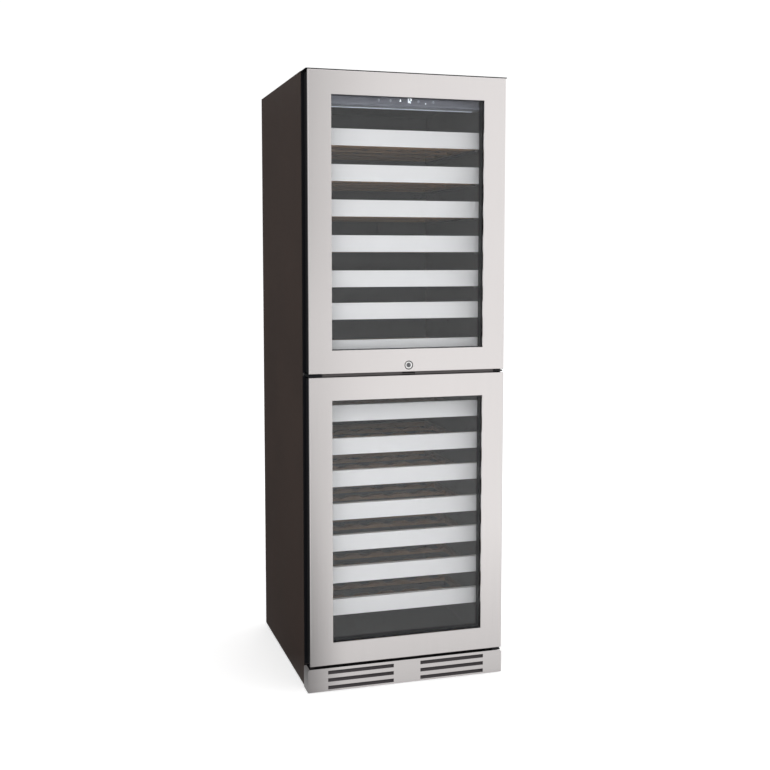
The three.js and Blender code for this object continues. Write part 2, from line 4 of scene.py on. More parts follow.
import bmesh
import bpy
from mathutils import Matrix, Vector


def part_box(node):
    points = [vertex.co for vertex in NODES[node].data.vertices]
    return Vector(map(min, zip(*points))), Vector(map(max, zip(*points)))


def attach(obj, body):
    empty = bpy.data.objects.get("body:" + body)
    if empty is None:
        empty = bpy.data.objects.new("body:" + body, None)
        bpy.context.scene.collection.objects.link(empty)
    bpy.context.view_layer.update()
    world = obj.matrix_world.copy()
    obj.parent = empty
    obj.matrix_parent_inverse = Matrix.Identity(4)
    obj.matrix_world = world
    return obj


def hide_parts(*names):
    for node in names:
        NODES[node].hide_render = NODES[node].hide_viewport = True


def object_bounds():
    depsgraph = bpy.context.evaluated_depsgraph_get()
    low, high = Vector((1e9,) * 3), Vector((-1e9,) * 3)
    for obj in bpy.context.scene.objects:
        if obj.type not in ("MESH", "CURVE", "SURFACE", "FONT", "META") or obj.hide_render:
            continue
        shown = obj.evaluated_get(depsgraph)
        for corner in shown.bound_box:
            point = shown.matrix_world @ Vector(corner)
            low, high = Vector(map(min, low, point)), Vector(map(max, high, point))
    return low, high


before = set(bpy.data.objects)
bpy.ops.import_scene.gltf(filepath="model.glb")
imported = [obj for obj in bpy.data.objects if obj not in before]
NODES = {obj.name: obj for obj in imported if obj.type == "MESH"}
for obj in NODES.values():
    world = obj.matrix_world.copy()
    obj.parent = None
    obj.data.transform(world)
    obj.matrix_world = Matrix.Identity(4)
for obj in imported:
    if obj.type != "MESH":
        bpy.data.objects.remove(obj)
CAD_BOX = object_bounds()
ZONES = ("upper", "lower")
SHELVES = range(1, 8)
SHARP = math.radians(35)


# ---- shader node helpers ----
def feed(tree, socket, value):
    """Sets a socket to a number, or links it to another node's output."""
    if isinstance(value, float):
        socket.default_value = value
    else:
        tree.links.new(value, socket)


def calculate(tree, operation, *terms, clamp=False):
    node = tree.nodes.new("ShaderNodeMath")
    node.operation = operation
    node.use_clamp = clamp
    for socket, term in zip(node.inputs, terms):
        feed(tree, socket, term)
    return node.outputs[0]


def ranged(tree, value, start, end):
    """Maps start..end to 0..1."""
    node = tree.nodes.new("ShaderNodeMapRange")
    node.inputs["From Min"].default_value = start
    node.inputs["From Max"].default_value = end
    tree.links.new(value, node.inputs["Value"])
    return node.outputs["Result"]


def mixed(tree, mode, factor, first, second):
    node = tree.nodes.new("ShaderNodeMix")
    node.data_type = "RGBA"
    node.blend_type = mode
    feed(tree, node.inputs["Factor"], factor)
    tree.links.new(first, node.inputs["A"])
    tree.links.new(second, node.inputs["B"])
    return node.outputs["Result"]


def mixed_surface(tree, factor, first, second, output):
    mix = tree.nodes.new("ShaderNodeMixShader")
    tree.links.new(factor, mix.inputs["Fac"])
    tree.links.new(first, mix.inputs[1])
    tree.links.new(second, mix.inputs[2])
    tree.links.new(mix.outputs["Shader"], tree.nodes[output].inputs["Surface"])


# ---- materials ----
class Finish:
    """A material being built: one Principled shader and short ways to feed it."""

    def __init__(self, name, color, roughness, metallic=0.0, **sockets):
        self.material = bpy.data.materials.new(name)
        self.material.use_nodes = True
        self.tree = self.material.node_tree
        self.nodes = self.tree.nodes
        self.links = self.tree.links
        self.shader = self.nodes["Principled BSDF"]
        self.set("Base Color", (*color, 1.0))
        self.set("Roughness", roughness)
        self.set("Metallic", metallic)
        for socket, value in sockets.items():
            self.set(socket.replace("_", " "), value)

    def set(self, socket, value):
        self.shader.inputs[socket].default_value = value

    def feed(self, socket, output):
        self.links.new(output, self.shader.inputs[socket])

    def coordinates(self, scale=(1.0, 1.0, 1.0)):
        texture = self.nodes.new("ShaderNodeTexCoord")
        mapping = self.nodes.new("ShaderNodeMapping")
        mapping.inputs["Scale"].default_value = scale
        self.links.new(texture.outputs["Object"], mapping.inputs["Vector"])
        return mapping.outputs["Vector"]

    def noise(self, vector, scale, detail=3.0, roughness=0.5, distortion=0.0):
        node = self.nodes.new("ShaderNodeTexNoise")
        self.links.new(vector, node.inputs["Vector"])
        node.inputs["Scale"].default_value = scale
        node.inputs["Detail"].default_value = detail
        node.inputs["Roughness"].default_value = roughness
        node.inputs["Distortion"].default_value = distortion
        return node.outputs["Fac"]

    def cells(self, vector, scale):
        node = self.nodes.new("ShaderNodeTexVoronoi")
        self.links.new(vector, node.inputs["Vector"])
        node.inputs["Scale"].default_value = scale
        return node.outputs

    def ramp(self, value, low, high, start=0.0, end=1.0):
        node = self.nodes.new("ShaderNodeValToRGB")
        first, last = node.color_ramp.elements
        first.position, last.position = start, end
        first.color, last.color = (*low, 1.0), (*high, 1.0)
        self.links.new(value, node.inputs["Fac"])
        return node.outputs["Color"]

    def spread(self, value, low, high):
        node = self.nodes.new("ShaderNodeMapRange")
        node.inputs["To Min"].default_value = low
        node.inputs["To Max"].default_value = high
        self.links.new(value, node.inputs["Value"])
        return node.outputs["Result"]

    def bump(self, height, distance, strength=1.0, normal=None):
        node = self.nodes.new("ShaderNodeBump")
        node.inputs["Strength"].default_value = strength
        node.inputs["Distance"].default_value = distance
        self.links.new(height, node.inputs["Height"])
        if normal is not None:
            self.links.new(normal, node.inputs["Normal"])
        return node.outputs["Normal"]


def brushed_steel(name, grain, tone=(0.79, 0.755, 0.748), metallic=1.0, smooth=0.15):
    """Fine brushing along one axis: grain is that axis, 0 for X and 2 for Z."""
    finish = Finish(name, tone, smooth, metallic)
    scale = [900.0, 900.0, 900.0]
    scale[grain] = 7.0
    fine = finish.noise(finish.coordinates(tuple(scale)), 1.0, 4.0, 0.6)
    cloud = finish.noise(finish.coordinates(), 3.0, 2.0)
    dark = tuple(0.96 * c for c in tone)
    finish.feed("Base Color", finish.ramp(fine, dark, tone, 0.3, 0.7))
    broad = finish.spread(cloud, smooth - 0.03, smooth + 0.04)
    finish.feed("Roughness", calculate(finish.tree, "MULTIPLY_ADD", fine, 0.07, broad))
    finish.feed("Normal", finish.bump(fine, 0.000006, 0.3))
    return finish.material


def satin_paint(name, tone, roughness):
    finish = Finish(name, tone, roughness, Specular_IOR_Level=0.12)
    peel = finish.noise(finish.coordinates(), 700.0, 2.0)
    cloud = finish.noise(finish.coordinates(), 5.0, 3.0)
    lighter = tuple(1.18 * c for c in tone)
    finish.feed("Base Color", finish.ramp(cloud, tone, lighter, 0.35, 0.7))
    finish.feed("Roughness", finish.spread(cloud, roughness - 0.05, roughness + 0.06))
    finish.feed("Normal", finish.bump(peel, 0.00004, 0.6))
    return finish.material


def moulded_plastic(name, tone, roughness, grain=900.0, depth=0.00005):
    finish = Finish(name, tone, roughness, Specular_IOR_Level=0.08)
    texture = finish.cells(finish.coordinates(), grain)["Distance"]
    cloud = finish.noise(finish.coordinates(), 9.0, 3.0)
    lighter = tuple(1.15 * c for c in tone)
    finish.feed("Base Color", finish.ramp(cloud, tone, lighter, 0.3, 0.7))
    finish.feed("Roughness", finish.spread(cloud, roughness - 0.05, roughness + 0.07))
    finish.feed("Normal", finish.bump(texture, depth, 0.7))
    return finish.material


def beech(name, grain, light_and_shade_scale=1.0):
    """Oiled beech with its grain along one axis: long soft streaks and short dark flecks."""
    finish = Finish(name, (0.42, 0.24, 0.12), 0.48)
    # light_and_shade_scale lightens or darkens this wood's colour: painted light on the front board,
    # painted shade on the slats and rails.
    pale = tuple(light_and_shade_scale * c for c in (0.50, 0.290, 0.150))
    deep = tuple(light_and_shade_scale * c for c in (0.30, 0.150, 0.066))
    streaks = [55.0, 55.0, 55.0]
    streaks[grain] = 2.6
    flecks = [900.0, 900.0, 900.0]
    flecks[grain] = 90.0
    wave = finish.noise(finish.coordinates(tuple(streaks)), 1.0, 5.0, 0.6, 0.6)
    fleck = finish.noise(finish.coordinates(tuple(flecks)), 1.0, 2.0)
    base = finish.ramp(wave, deep, pale, 0.3, 0.72)
    marks = finish.ramp(fleck, (0.62, 0.55, 0.48), (1.0, 1.0, 1.0), 0.28, 0.42)
    finish.feed("Base Color", mixed(finish.tree, "MULTIPLY", 0.8, base, marks))
    finish.feed("Roughness", finish.spread(wave, 0.42, 0.58))
    finish.feed("Normal", finish.bump(wave, 0.00015, 0.5))
    return finish.material


def rubber_seal():
    finish = Finish("seal_rubber", (0.02, 0.02, 0.023), 0.62)
    dust = finish.noise(finish.coordinates(), 60.0, 4.0)
    finish.feed("Base Color", finish.ramp(dust, (0.015, 0.015, 0.018), (0.035, 0.035, 0.04), 0.3, 0.8))
    finish.feed("Roughness", finish.spread(dust, 0.52, 0.74))
    finish.feed("Normal", finish.bump(dust, 0.0001, 0.4))
    return finish.material


def zinc_sheet():
    finish = Finish("zinc_sheet", (0.45, 0.46, 0.47), 0.42, 0.85)
    outputs = finish.cells(finish.coordinates(), 160.0)
    spangle = finish.noise(outputs["Position"], 40.0, 0.0)
    finish.feed("Base Color", finish.ramp(spangle, (0.43, 0.44, 0.45), (0.51, 0.52, 0.53), 0.3, 0.7))
    finish.feed("Roughness", finish.spread(spangle, 0.38, 0.48))
    return finish.material


def polished_metal():
    finish = Finish("polished_metal", (0.86, 0.86, 0.87), 0.12, 1.0)
    wear = finish.noise(finish.coordinates(), 400.0, 3.0)
    finish.feed("Roughness", finish.spread(wear, 0.08, 0.2))
    return finish.material


def foam():
    finish = Finish("insulating_foam", (0.76, 0.64, 0.35), 0.9)
    pores = finish.cells(finish.coordinates(), 350.0)["Distance"]
    finish.feed("Base Color", finish.ramp(pores, (0.6, 0.47, 0.22), (0.8, 0.68, 0.4)))
    finish.feed("Normal", finish.bump(pores, 0.0006))
    return finish.material


def pane_glass():
    """Coated low-reflection glass with a faint cool tint. Light from lamps passes straight through."""
    finish = Finish("pane_glass", (0.97, 0.982, 0.985), 0.0, IOR=1.28, Transmission_Weight=1.0)
    smear = finish.noise(finish.coordinates(), 7.0, 3.0)
    finish.feed("Roughness", finish.spread(smear, 0.0, 0.012))
    clear = finish.nodes.new("ShaderNodeBsdfTransparent")
    clear.inputs["Color"].default_value = (0.97, 0.982, 0.985, 1.0)
    shadow = finish.nodes.new("ShaderNodeLightPath").outputs["Is Shadow Ray"]
    glass = finish.shader.outputs["BSDF"]
    mixed_surface(finish.tree, shadow, glass, clear.outputs["BSDF"], "Material Output")
    return finish.material


def smoked_panel():
    finish = Finish("smoked_panel", (0.16, 0.165, 0.21), 0.3, Coat_Weight=0.3, Coat_Roughness=0.15)
    haze = finish.noise(finish.coordinates((1.0, 1.0, 9.0)), 14.0, 3.0)
    finish.feed("Base Color", finish.ramp(haze, (0.175, 0.175, 0.215), (0.235, 0.235, 0.285), 0.3, 0.7))
    return finish.material


def glowing(name, tone, strength):
    finish = Finish(name, tone, 0.4)
    flicker = finish.noise(finish.coordinates(), 60.0, 1.0)
    paler = tuple(min(1.0, 1.1 * c) for c in tone)
    finish.feed("Emission Color", finish.ramp(flicker, tone, paler, 0.2, 0.8))
    finish.set("Emission Strength", strength)
    return finish.material


STEEL = brushed_steel("steel_brushed_upright", 2)
STEEL_ACROSS = brushed_steel("steel_brushed_across", 0)
SHELF_STEEL = brushed_steel("shelf_front_steel", 0, (0.76, 0.725, 0.73), 0.12, 0.45)
CABINET = satin_paint("cabinet_paint", (0.040, 0.0265, 0.0215), 0.42)
TRIM = satin_paint("grey_trim", (0.085, 0.078, 0.078), 0.45)
MACHINE = satin_paint("machine_black", (0.016, 0.016, 0.017), 0.5)
LOUVRE = satin_paint("louvre_grey", (0.07, 0.063, 0.066), 0.5)
BLACK = moulded_plastic("black_plastic", (0.007, 0.0075, 0.009), 0.42)
SPACER = moulded_plastic("spacer_plastic", (0.006, 0.014, 0.022), 0.4)
LINER = moulded_plastic("liner_plastic", (0.066, 0.062, 0.064), 0.5, 500.0, 0.0001)
# The front board's wood is lightened as painted light, standing in for light from below through the
# window.
LIT_BOARD_WOOD = beech("beech_board_painted_light", 0, 1.35)
# The slats and rails are darkened as painted shade of the dim compartment behind the front board.
SHADED_SLAT_WOOD = beech("slats_painted_shade", 0, 0.42)
SHADED_RAIL_WOOD = beech("rails_painted_shade", 1, 0.42)
SEAL = rubber_seal()
ZINC = zinc_sheet()
CHROME = polished_metal()
# The dark ring round the lock bezel is painted shade of the gap round the bezel.
LOCK_SHADOW_RING = satin_paint("lock_shadow_gap_ring", (0.035, 0.035, 0.037), 0.35)
LOCK_BRIGHT = brushed_steel("lock_bright_ring", 2, (0.93, 0.92, 0.91), 0.35, 0.3)
LOCK_CORE = moulded_plastic("lock_core", (0.13, 0.13, 0.135), 0.35, 1500.0, 0.00002)
FOAM = foam()
GLASS = pane_glass()
PANEL = smoked_panel()
DIGITS = glowing("display_digits", (0.88, 0.92, 1.0), 1.6)
ICONS = glowing("display_icons", (0.55, 0.58, 0.68), 0.5)
LAMP = glowing("lamp_strip", (0.80, 0.85, 0.95), 0.12)


# ---- mesh helpers ----
class Piece:
    """Collects solids into one mesh, which then rides on a CAD body."""

    def __init__(self, name):
        self.name = name
        self.mesh = bmesh.new()
        self.materials = []

    def _index(self, material):
        if material not in self.materials:
            self.materials.append(material)
        return self.materials.index(material)

    def _face(self, corners, material):
        face = self.mesh.faces.new(corners)
        face.material_index = self._index(material)
        return face

    def block(self, low, high, material):
        xs, ys, zs = ((low[i], high[i]) for i in range(3))
        self.prism([(xs[0], zs[0]), (xs[1], zs[0]), (xs[1], zs[1]), (xs[0], zs[1])], "y", *ys, material)

    def prism(self, outline, axis, start, end, material):
        """A flat outline pushed along an axis. It is in XZ for y, YZ for x and XY for z."""
        place = {
            "x": lambda a, b, c: (c, a, b),
            "y": lambda a, b, c: (a, c, b),
            "z": lambda a, b, c: (a, b, c),
        }[axis]
        near = [self.mesh.verts.new(place(a, b, start)) for a, b in outline]
        far = [self.mesh.verts.new(place(a, b, end)) for a, b in outline]
        self._face(near, material)
        self._face(far[::-1], material)
        for i in range(len(outline)):
            j = (i + 1) % len(outline)
            self._face([near[j], near[i], far[i], far[j]], material)

    def lathe(self, profile, centre, axis, material, segments=32):
        """(radius, height) points turned about an axis through centre; the profile closes on itself."""
        turned = []
        for step in range(segments):
            angle = 2 * math.pi * step / segments
            ring = []
            for radius, height in profile:
                a, b = radius * math.cos(angle), radius * math.sin(angle)
                offset = {"x": (height, a, b), "y": (b, height, a), "z": (a, b, height)}[axis]
                ring.append(self.mesh.verts.new(Vector(centre) + Vector(offset)))
            turned.append(ring)
        count = len(profile)
        for step in range(segments):
            this, following = turned[step], turned[(step + 1) % segments]
            for i in range(count):
                j = (i + 1) % count
                self._face([this[i], following[i], following[j], this[j]], material)

    def border(self, profile, half, low, high, back, material):
        """A profile of (outward, depth) points swept round an upright rectangle with mitred corners."""
        corners = ((-1, -1), (1, -1), (1, 1), (-1, 1))
        rings = []
        for sx, sz in corners:
            edge = low if sz < 0 else high
            ring = [(sx * (half + out), back + depth, edge + sz * out) for out, depth in profile]
            rings.append([self.mesh.verts.new(point) for point in ring])
        count = len(profile)
        for side in range(4):
            this, following = rings[side], rings[(side + 1) % 4]
            for i in range(count):
                j = (i + 1) % count
                self._face([this[i], following[i], following[j], this[j]], material)

    def screw(self, centre, axis, radius, material):
        """A pan head with a round recess, standing out along an axis."""
        recess = radius * 0.42
        head = [
            (radius, 0.0),
            (radius, 0.25 * radius),
            (0.8 * radius, 0.5 * radius),
            (recess, 0.58 * radius),
            (recess * 0.9, 0.15 * radius),
            (0.0001, 0.15 * radius),
            (0.0001, 0.0),
        ]
        self.lathe(head, centre, axis, material, 20)

    def finish(self, body, slot, bevel=0.0, segments=2, replaces=()):
        bmesh.ops.remove_doubles(self.mesh, verts=self.mesh.verts, dist=1e-7)
        bmesh.ops.recalc_face_normals(self.mesh, faces=self.mesh.faces)
        data = bpy.data.meshes.new(self.name)
        self.mesh.to_mesh(data)
        self.mesh.free()
        for material in self.materials:
            data.materials.append(material)
        thing = bpy.data.objects.new(self.name, data)
        bpy.context.scene.collection.objects.link(thing)
        soften(thing, bevel, segments)
        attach(thing, body)
        if replaces:
            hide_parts(*replaces)
        return thing


def soften(thing, bevel, segments=2):
    """Smooth shading with sharp edges kept, and rounded edges where a bevel is asked for."""
    thing.data.shade_smooth()
    thing.data.set_sharp_from_angle(angle=SHARP)
    if bevel:
        modifier = thing.modifiers.new("edge_round", "BEVEL")
        modifier.width = bevel
        modifier.segments = segments
        modifier.limit_method = "ANGLE"
        modifier.angle_limit = SHARP
        modifier.harden_normals = True


# ---- CAD nodes that keep their shape ----
def dress(node, material, bevel=0.0, segments=2):
    thing = NODES[node]
    thing.data.materials.clear()
    thing.data.materials.append(material)
    soften(thing, bevel, segments)


dress("outer_shell", CABINET, 0.0004)
dress("back_panel", ZINC, 0.0004)
dress("insulation", FOAM)
dress("front_frame", TRIM, 0.0005)
dress("upper_liner", LINER, 0.0015)
dress("lower_liner", LINER, 0.0015)
dress("upper_duct_cover", LINER, 0.0012)
dress("lower_duct_cover", LINER, 0.0012)
dress("base_pan", ZINC, 0.0004)
dress("kick_plate", STEEL_ACROSS, 0.0003)
dress("control_panel", PANEL, 0.0012)
dress("machine_cover", MACHINE, 0.0005)
dress("compressor", MACHINE, 0.0008)
dress("condenser_fan", BLACK, 0.0004)
dress("top_hinge", MACHINE, 0.0004)
dress("middle_hinge", MACHINE, 0.0006)
dress("bottom_hinge", MACHINE, 0.0005)
dress("gap_block", BLACK, 0.0008)
dress("lock_cylinder", LOCK_CORE, 0.0002)
for corner in ("front_left", "front_right", "rear_left", "rear_right"):
    dress(f"foot_{corner}", BLACK, 0.0005)
for zone in ZONES:
    dress(f"{zone}_door_steel", STEEL)
    dress(f"{zone}_door_frame", BLACK, 0.0006)
    for number in SHELVES:
        dress(f"{zone}_shelf_front_{number}", SHELF_STEEL, 0.0006, 3)


# ---- doors ----
PANE = 0.004
LOCK_DEPTH = 0.02


def door_glazing(zone):
    low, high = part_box(f"{zone}_door_glass")
    panes = Piece(f"{zone}_door_panes")
    panes.block(low, (high.x, low.y + PANE, high.z), GLASS)
    panes.block((low.x, high.y - PANE, low.z), high, GLASS)
    panes.finish(f"{zone}_door", "glass", 0.0004, 1, [f"{zone}_door_glass"])
    spacer = Piece(f"{zone}_door_spacer")
    clear = 0.0002
    inside = high.y - low.y - 2 * PANE - 2 * clear
    section = [(-0.0125, 0.0), (-0.0125, inside), (-0.0005, inside), (-0.0005, 0.0)]
    spacer.border(section, high.x, low.z, high.z, low.y + PANE + clear, SPACER)
    spacer.finish(f"{zone}_door", "black_plastic")


def door_gasket(zone):
    """Magnetic gasket with a bellows between its foot and its magnet pocket."""
    low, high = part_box(f"{zone}_door_gasket")
    width = 0.012
    deep = high.y - low.y
    fold = [
        (0.002, 0.0),
        (0.010, 0.0),
        (0.010, 0.0025),
        (0.012, 0.004),
        (0.0105, 0.0055),
        (0.012, 0.007),
        (0.012, deep - 0.001),
        (0.011, deep),
        (0.001, deep),
        (0.0, deep - 0.001),
        (0.0, 0.007),
        (0.0015, 0.0055),
        (0.0, 0.004),
        (0.002, 0.0025),
    ]
    seal = Piece(f"{zone}_door_seal")
    seal.border(fold, high.x - width, low.z + width, high.z - width, low.y, SEAL)
    seal.finish(f"{zone}_door", "seal", replaces=[f"{zone}_door_gasket"])


def lock_face():
    """A dark ring that paints the shadow gap round the bezel, and a bright bezel dished towards the
    cylinder.
    """
    low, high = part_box("lock_bezel")
    centre = ((low.x + high.x) / 2, low.y, (low.z + high.z) / 2)
    shadow_gap = [
        (0.0104, 0.0002),
        (0.0110, -0.0006),
        (0.0122, -0.0006),
        (0.0125, 0.0002),
        (0.0125, LOCK_DEPTH),
        (0.0104, LOCK_DEPTH),
    ]
    dish = [
        (0.0066, 0.0016),
        (0.0084, 0.0002),
        (0.0098, 0.0000),
        (0.0102, 0.0006),
        (0.0102, LOCK_DEPTH),
        (0.0066, LOCK_DEPTH),
    ]
    bezel = Piece("lock_face")
    bezel.lathe(shadow_gap, centre, "y", LOCK_SHADOW_RING, 48)
    bezel.lathe(dish, centre, "y", LOCK_BRIGHT, 48)
    bezel.finish("upper_door", "lock_metal", replaces=["lock_bezel"])


lock_face()
for zone in ZONES:
    door_glazing(zone)
    door_gasket(zone)


# ---- shelves ----
SCALLOPS = 6
BOTTLE_PITCH = 0.079
BOTTLE_RADIUS = 0.038
SCALLOP_DEPTH = 0.006
BOARD_DEPTH = 0.062
SLAT_WIDTH = 0.02
SLAT_RISE = 0.0025
SLAT_SETBACKS = (0.1182, 0.2282, 0.3382)
RAIL = 0.018
JOINT = 0.0003


def slat_outline(low_x, high_x, low_z, high_z):
    middle = (low_x + high_x) / 2
    reach = math.acos(1 - SCALLOP_DEPTH / BOTTLE_RADIUS)
    centre = high_z - SCALLOP_DEPTH + BOTTLE_RADIUS
    steps = 14
    outline = [(low_x, low_z), (high_x, low_z), (high_x, high_z)]
    for column in reversed(range(SCALLOPS)):
        x = middle + (column - (SCALLOPS - 1) / 2) * BOTTLE_PITCH
        for step in range(steps + 1):
            angle = reach - 2 * reach * step / steps
            outline.append((x + BOTTLE_RADIUS * math.sin(angle), centre - BOTTLE_RADIUS * math.cos(angle)))
    outline.append((low_x, high_z))
    return outline


def wooden_rack(zone, number):
    """A front board of three joined strips, scalloped slats, and rails screwed together."""
    node = f"{zone}_rack_{number}"
    low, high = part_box(node)
    rack = Piece(f"{zone}_wooden_rack_{number}")
    strip = (BOARD_DEPTH - 2 * JOINT) / 3
    for index in range(3):
        front = low.y + index * (strip + JOINT)
        rack.block((low.x, front, low.z), (high.x, front + strip, high.z), LIT_BOARD_WOOD)
    rack.block((low.x, high.y - RAIL, low.z), high, SHADED_SLAT_WOOD)
    for x in (low.x, high.x - RAIL):
        behind = low.y + BOARD_DEPTH + JOINT
        rack.block((x, behind, low.z), (x + RAIL, high.y - RAIL - JOINT, high.z - 0.001), SHADED_RAIL_WOOD)
    outline = slat_outline(low.x + RAIL + JOINT, high.x - RAIL - JOINT, low.z + SLAT_RISE, high.z)
    for setback in SLAT_SETBACKS:
        start = low.y + setback
        rack.prism(outline, "y", start, start + SLAT_WIDTH, SHADED_SLAT_WOOD)
    for x in (low.x + RAIL / 2, high.x - RAIL / 2):
        for y in (low.y + 1.5 * RAIL, high.y - RAIL / 2):
            rack.screw((x, y, high.z - 0.0004), "z", 0.0035, CHROME)
    rack.finish(f"{zone}_shelf_{number}", "wood", 0.0009, 2, [node])


for zone in ZONES:
    for number in SHELVES:
        wooden_rack(zone, number)


# ---- display and lamps ----
SEGMENTS = {"1": "bc", "2": "abged"}
DIGIT_PLACES = {"1": 0.0165, "2": 0.0255}
DIGIT_WIDTH = 0.0066
DIGIT_HEIGHT = 0.0125
STROKE = 0.0016
SEGMENT_GAP = 0.0004
DISPLAY_BASE = 1.6865
DISPLAY_FILM = 0.0003
TOUCH_KEYS = (-0.066, -0.031, 0.053, 0.098)
INDICATOR_DOT = 0.075


def display():
    """Two seven-segment digits, a dot, an icon of two bars, and four ringed touch keys."""
    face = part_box("control_panel")[0].y - 0.0004
    base = DISPLAY_BASE
    shown = Piece("temperature_display")

    def bar(x0, x1, z0, z1, glow=DIGITS):
        shown.block((x0, face, z0), (x1, face + DISPLAY_FILM, z1), glow)

    def ring(x, z, outer, inner, glow, segments):
        section = [(outer, 0.0), (outer, DISPLAY_FILM), (inner, DISPLAY_FILM), (inner, 0.0)]
        shown.lathe(section, (x, face, z), "y", glow, segments)

    def digit(symbol, x):
        middle = base + DIGIT_HEIGHT / 2
        top = base + DIGIT_HEIGHT
        right = x + DIGIT_WIDTH
        places = {
            "a": (x + STROKE, right - STROKE, top - STROKE, top),
            "b": (right - STROKE, right, middle + SEGMENT_GAP, top - SEGMENT_GAP),
            "c": (right - STROKE, right, base + SEGMENT_GAP, middle - SEGMENT_GAP),
            "d": (x + STROKE, right - STROKE, base, base + STROKE),
            "e": (x, x + STROKE, base + SEGMENT_GAP, middle - SEGMENT_GAP),
            "g": (x + STROKE, right - STROKE, middle - STROKE / 2, middle + STROKE / 2),
        }
        for segment in SEGMENTS[symbol]:
            bar(*places[segment])

    for symbol, x in DIGIT_PLACES.items():
        digit(symbol, x)
    ring(INDICATOR_DOT, base, 0.0012, 0.0002, DIGITS, 16)
    bar(-0.004, 0.001, base + 0.0035, base + 0.005)
    bar(-0.0025, -0.0005, base + 0.0052, base + 0.009)
    for x in TOUCH_KEYS:
        ring(x, base + 0.005, 0.0032, 0.0026, ICONS, 24)
        bar(x - 0.0003, x + 0.0003, base + 0.0043, base + 0.007, ICONS)
    shown.finish("cabinet", "panel")


def lamp_strip(name, half, front, top):
    """A frosted lens under a compartment's ceiling."""
    lamp = Piece(name)
    lamp.block((-half, front, top - 0.0022), (half, front + 0.007, top - 0.0003), LAMP)
    lamp.finish("cabinet", "panel", 0.0006)


display()
panel_low, panel_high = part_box("control_panel")
lamp_strip("upper_lamp", 0.235, panel_high.y - 0.009, panel_low.z)
liner_low, liner_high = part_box("lower_liner")
lamp_strip("lower_lamp", 0.2, liner_low.y + 0.03, liner_high.z - 0.002)


# ---- kick plate ----
LOUVRE_MIDDLES = (0.012, 0.0342, 0.0563)
SLOT_STARTS = (-0.2385, 0.041)
SLOT_LENGTH = 0.1975
LOUVRE_LAP = 0.006


def kick_louvres():
    """Sloping blades close behind the kick plate's slots."""
    louvres = Piece("kick_louvres")
    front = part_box("kick_plate")[0].y + 0.003
    for middle in LOUVRE_MIDDLES:
        blade = [
            (front, middle - 0.0062),
            (front + 0.0012, middle - 0.0064),
            (front + 0.012, middle + 0.0035),
            (front + 0.0108, middle + 0.0040),
        ]
        for start in SLOT_STARTS:
            louvres.prism(blade, "x", start - LOUVRE_LAP, start + SLOT_LENGTH + LOUVRE_LAP, LOUVRE)
    louvres.finish("cabinet", "grey_trim")


kick_louvres()


# ---- trim around the doors ----
CLEAR = 0.0003
HINGE_ARM = (0.264, 0.290)
TRIM_UNDERSIDE = 1.7576
SEAL_INNER_EDGE = 0.280
LEFT_SEAL_ENDS = (0.910, 0.918, 1.7572)
RIGHT_SEAL_RUNS = ((0.081, 0.897), (0.927, 1.7405))
KICK_PLATE_TOP = 0.0665


def top_trim():
    """Dark strip on both sides of the top hinge's arm, under the cabinet's top edge."""
    arm_low, arm_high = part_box("top_hinge")
    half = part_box("outer_shell")[1].x - 0.001
    front, back = arm_low.y - 0.001, arm_high.y
    high = arm_high.z - 0.0001
    trim = Piece("top_trim")
    trim.block((-half, front, TRIM_UNDERSIDE), (HINGE_ARM[0] - CLEAR, back, high), BLACK)
    trim.block((HINGE_ARM[1] + CLEAR, front, TRIM_UNDERSIDE), (half, back, high), BLACK)
    trim.finish("cabinet", "black_plastic", 0.0003)


def edge_seals():
    """Black edge strips on the front flange, beside the doors, clear of the hinge plates, and below."""
    low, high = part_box("front_frame")
    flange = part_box("outer_shell")[0].y
    near, far = SEAL_INNER_EDGE, high.x - 0.0001
    below_block, above_block, top = LEFT_SEAL_ENDS
    left_runs = ((low.z + 0.001, below_block), (above_block, top))
    seals = Piece("flange_edge_seals")
    for x0, x1, runs in ((-far, -near, left_runs), (near, far, RIGHT_SEAL_RUNS)):
        for z0, z1 in runs:
            seals.block((x0, flange - 0.0014, z0), (x1, flange - 0.0002, z1), BLACK)
        filler_top = low.z - 0.0002
        seals.block((x0, flange + 0.0002, KICK_PLATE_TOP), (x1, flange + 0.0021, filler_top), BLACK)
    seals.finish("cabinet", "black_plastic", 0.0004)


top_trim()
edge_seals()


# ---- hinge washers ----
HINGE_X = 0.28
HINGE_SETBACK = 0.014
WASHER_UNDERSIDES = (0.9163, 0.9093, 0.0774)


def hinge_washers():
    washers = Piece("hinge_washers")
    section = [(0.0044, 0.0), (0.0072, 0.0), (0.0072, 0.0024), (0.0044, 0.0024)]
    for z in WASHER_UNDERSIDES:
        washers.lathe(section, (HINGE_X, CAD_BOX[0].y + HINGE_SETBACK, z), "z", BLACK, 28)
    washers.finish("cabinet", "black_plastic")


hinge_washers()


# ---- rear ----
RIB_PLACES = (-0.2, -0.1, 0.0, 0.1, 0.2)
RIB_TOP = 1.54
MACHINE_SPACE_TOP = 0.149
PANEL_SCREW_ROWS = 9
REAR_SCREW = 0.0042
INLET_PINS = (0.221, 0.230, 0.239)

panel_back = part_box("outer_shell")[1].y + 0.0013
back_low, back_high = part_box("back_panel")
cover_low, cover_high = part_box("machine_cover")


def rear_ribs():
    """Shallow stiffening ribs pressed into the rear sheet."""
    ribs = Piece("rear_ribs")
    section = [(-0.011, 0.0), (-0.007, 0.0022), (0.007, 0.0022), (0.011, 0.0)]
    for x in RIB_PLACES:
        outline = [(x + a, panel_back + b) for a, b in section]
        ribs.prism(outline, "z", back_low.z + 0.08, RIB_TOP, ZINC)
    ribs.finish("cabinet", "zinc", 0.0006)


